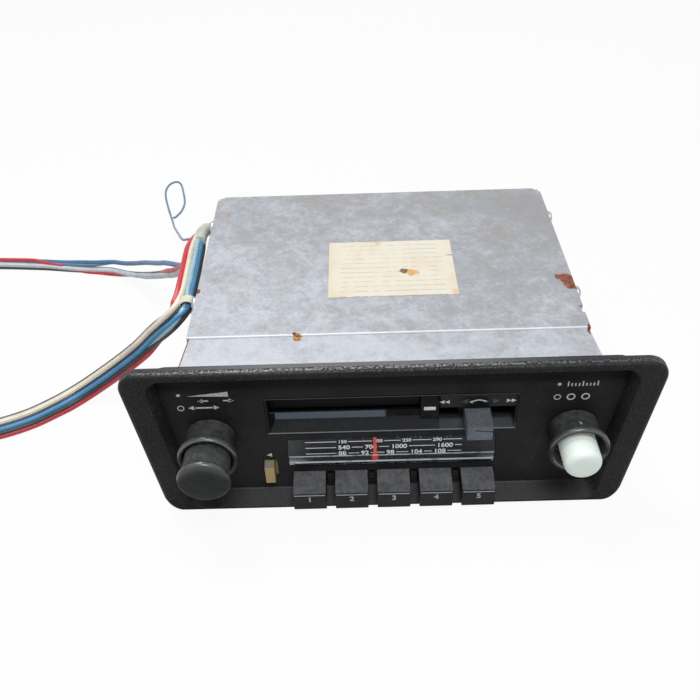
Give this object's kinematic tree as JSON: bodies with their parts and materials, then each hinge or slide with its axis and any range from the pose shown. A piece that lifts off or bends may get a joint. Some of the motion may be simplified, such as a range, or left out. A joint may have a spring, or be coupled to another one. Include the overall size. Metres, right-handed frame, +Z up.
{
  "type": "car cassette radio",
  "caption": "Car radio with a slide-in cassette slot, dial with a red pointer, preset keys, coaxial knobs and a wide sloped fascia on a steel chassis.",
  "frame": {"origin": "middle of the radio's footprint on the surface it stands on", "axes": "+Z up, the fascia faces -Y, +X to the right of someone facing the fascia"},
  "size_m": [0.3792, 0.33, 0.08],
  "materials": {
    "frame_steel": "dull zinc plate",
    "cover_zinc": "mottled zinc plate",
    "screw_steel": "dull",
    "sink_aluminium": "black anodised",
    "brass": "satin",
    "plated": "satin",
    "grommet_rubber": "matt",
    "clip_nylon": "yellowed nylon",
    "paper": "aged paper",
    "fascia_plastic": "grained",
    "dark_plastic": "satin",
    "gloss_black": "polished",
    "white_plastic": "translucent nylon",
    "acrylic": "clear acrylic",
    "pointer_red": "lit red",
    "lamp_glass": "clear bulb",
    "button_tan": "tan",
    "key_plastic": "dusty grey",
    "board_green": "fibre board",
    "motor_steel": "satin",
    "ferrite": "matt",
    "roller_rubber": "matt",
    "flywheel_steel": "turned",
    "wire_blue": "wire insulation",
    "wire_red": "wire insulation"
  },
  "bodies": {
    "chassis": {"chassis_frame": "frame_steel", "top_cover": "cover_zinc", "bottom_cover": "cover_zinc", "rear_panel": "frame_steel", "cover_screws": "screw_steel", "heat_sink": "sink_aluminium", "rear_stud": "brass", "antenna_socket": "plated", "harness_grommet": "grommet_rubber", "cable_clip": "clip_nylon", "rating_label": "paper", "fascia": "fascia_plastic", "slot_tray": "dark_plastic", "transport_plate": "gloss_black", "indicator_lens": "white_plastic", "dial_scale": "dark_plastic", "dial_lens": "acrylic", "pointer_rail": "plated", "dial_lamp": "lamp_glass", "volume_control": "plated", "tuning_block": "plated", "main_board": "board_green", "tuner_box": "frame_steel", "deck_plate": "frame_steel", "drive_motor": "motor_steel", "drive_belt": "roller_rubber", "harness_main": "wire_blue", "harness_branch": "wire_red", "harness_loop": "wire_blue", "main_connector": "white_plastic", "branch_connector": "white_plastic"},
    "selector": {"volume_selector": "plated"},
    "volume": {"volume_knob": "gloss_black", "volume_shaft": "plated"},
    "fader": {"fader_ring": "gloss_black", "fader_shaft": "brass"},
    "mono": {"mono_ring": "gloss_black", "mono_shaft": "brass"},
    "tuning": {"tuning_shaft": "white_plastic"},
    "pointer": {"dial_pointer": "pointer_red"},
    "cores": {"tuner_cores": "ferrite"},
    "reverse": {"rev_button": "button_tan"},
    "carriage": {"transport_carriage": "frame_steel"},
    "lever": {"transport_lever": "key_plastic"},
    "door": {"cassette_door": "dark_plastic"},
    "cradle": {"cassette_cradle": "frame_steel"},
    "front_flywheel": {"flywheel_front": "flywheel_steel"},
    "rear_flywheel": {"flywheel_rear": "flywheel_steel"},
    "pulley": {"motor_pulley": "brass"},
    "front_reel": {"reel_spindle_front": "white_plastic"},
    "rear_reel": {"reel_spindle_rear": "white_plastic"},
    "head": {"head_plate": "frame_steel", "tape_head": "plated"},
    "front_pinch": {"pinch_roller_front": "roller_rubber"},
    "rear_pinch": {"pinch_roller_rear": "roller_rubber"},
    "preset_1": {"preset_key_1": "key_plastic"},
    "preset_2": {"preset_key_2": "key_plastic"},
    "preset_3": {"preset_key_3": "key_plastic"},
    "preset_4": {"preset_key_4": "key_plastic"},
    "preset_5": {"preset_key_5": "key_plastic"}
  },
  "joints": [
    {"name": "volume_push", "type": "slide", "parent": "chassis", "child": "selector", "axis": [0, 1, 0], "range_m": [-0.0025, 0.0025]},
    {"name": "volume_turn", "type": "hinge", "parent": "selector", "child": "volume", "pos_m": [-0.077, -0.073, 0.04], "axis": [0, 1, 0], "range_deg": [-150, 150]},
    {"name": "fader_turn", "type": "hinge", "parent": "chassis", "child": "fader", "pos_m": [-0.077, -0.073, 0.04], "axis": [0, 1, 0], "range_deg": [-60, 60]},
    {"name": "mono_turn", "type": "hinge", "parent": "chassis", "child": "mono", "pos_m": [0.077, -0.073, 0.04], "axis": [0, 1, 0], "range_deg": [-30, 30]},
    {"name": "tuning_turn", "type": "hinge", "parent": "chassis", "child": "tuning", "pos_m": [0.077, -0.073, 0.04], "axis": [0, 1, 0], "range_deg": [-426, 645]},
    {"name": "pointer_slide", "type": "slide", "parent": "chassis", "child": "pointer", "axis": [1, 0, 0], "range_m": [-0.0297, 0.045]},
    {"name": "cores_slide", "type": "slide", "parent": "chassis", "child": "cores", "axis": [0, 1, 0], "range_m": [-0.0036, 0.0054]},
    {"name": "preset_1_push", "type": "slide", "parent": "chassis", "child": "preset_1", "axis": [0, 1, 0], "range_m": [-0.005, 0.0054], "stiffness_N_per_m": 250},
    {"name": "preset_2_push", "type": "slide", "parent": "chassis", "child": "preset_2", "axis": [0, 1, 0], "range_m": [-0.005, 0.0054], "stiffness_N_per_m": 250},
    {"name": "preset_3_push", "type": "slide", "parent": "chassis", "child": "preset_3", "axis": [0, 1, 0], "range_m": [-0.005, 0.0054], "stiffness_N_per_m": 250},
    {"name": "preset_4_push", "type": "slide", "parent": "chassis", "child": "preset_4", "axis": [0, 1, 0], "range_m": [-0.005, 0.0054], "stiffness_N_per_m": 250},
    {"name": "preset_5_push", "type": "slide", "parent": "chassis", "child": "preset_5", "axis": [0, 1, 0], "range_m": [-0.005, 0.0054], "stiffness_N_per_m": 250},
    {"name": "reverse_push", "type": "slide", "parent": "chassis", "child": "reverse", "axis": [0, 1, 0], "range_m": [0, 0.003], "stiffness_N_per_m": 200},
    {"name": "lever_shift", "type": "slide", "parent": "chassis", "child": "carriage", "axis": [1, 0, 0], "range_m": [-0.0095, 0.0095]},
    {"name": "lever_push", "type": "slide", "parent": "carriage", "child": "lever", "axis": [0, 1, 0], "range_m": [0, 0.004], "stiffness_N_per_m": 250},
    {"name": "door_swing", "type": "hinge", "parent": "chassis", "child": "door", "pos_m": [-0.02, -0.0643, 0.06095], "axis": [1, 0, 0], "range_deg": [0, 80], "stiffness_Nm_per_rad": 0.004},
    {"name": "cradle_drop", "type": "slide", "parent": "chassis", "child": "cradle", "axis": [0, 0, -1], "range_m": [0, 0.0044], "stiffness_N_per_m": 100, "springref_m": -0.012},
    {"name": "front_flywheel_spin", "type": "hinge", "parent": "chassis", "child": "front_flywheel", "pos_m": [0.00425, -0.045, 0.031], "axis": [0, 0, 1], "continuous": true},
    {"name": "rear_flywheel_spin", "type": "hinge", "parent": "chassis", "child": "rear_flywheel", "pos_m": [0.00425, 0.021, 0.031], "axis": [0, 0, 1], "continuous": true},
    {"name": "pulley_spin", "type": "hinge", "parent": "chassis", "child": "pulley", "pos_m": [0.03175, 0.026, 0.031], "axis": [0, 0, 1], "continuous": true},
    {"name": "front_reel_spin", "type": "hinge", "parent": "chassis", "child": "front_reel", "pos_m": [-0.02075, -0.03325, 0.04], "axis": [0, 0, 1], "continuous": true},
    {"name": "rear_reel_spin", "type": "hinge", "parent": "chassis", "child": "rear_reel", "pos_m": [-0.02075, 0.00925, 0.04], "axis": [0, 0, 1], "continuous": true},
    {"name": "head_shift", "type": "slide", "parent": "chassis", "child": "head", "axis": [-1, 0, 0], "range_m": [0, 0.008], "stiffness_N_per_m": 100, "springref_m": -0.004},
    {"name": "front_pinch_spin", "type": "hinge", "parent": "head", "child": "front_pinch", "pos_m": [0.01865, -0.045, 0.047], "axis": [0, 0, 1], "continuous": true},
    {"name": "rear_pinch_spin", "type": "hinge", "parent": "head", "child": "rear_pinch", "pos_m": [0.01865, 0.021, 0.047], "axis": [0, 0, 1], "continuous": true}
  ],
  "couplings": [
    {"joint": "tuning_turn", "follows": "pointer_slide", "rad_per_m": 250},
    {"joint": "cores_slide", "follows": "pointer_slide", "ratio": 0.12},
    {"joint": "rear_flywheel_spin", "follows": "front_flywheel_spin", "ratio": -1},
    {"joint": "pulley_spin", "follows": "front_flywheel_spin", "ratio": 3},
    {"joint": "front_reel_spin", "follows": "front_flywheel_spin", "ratio": 0.15},
    {"joint": "rear_reel_spin", "follows": "front_flywheel_spin", "ratio": 0.15}
  ]
}
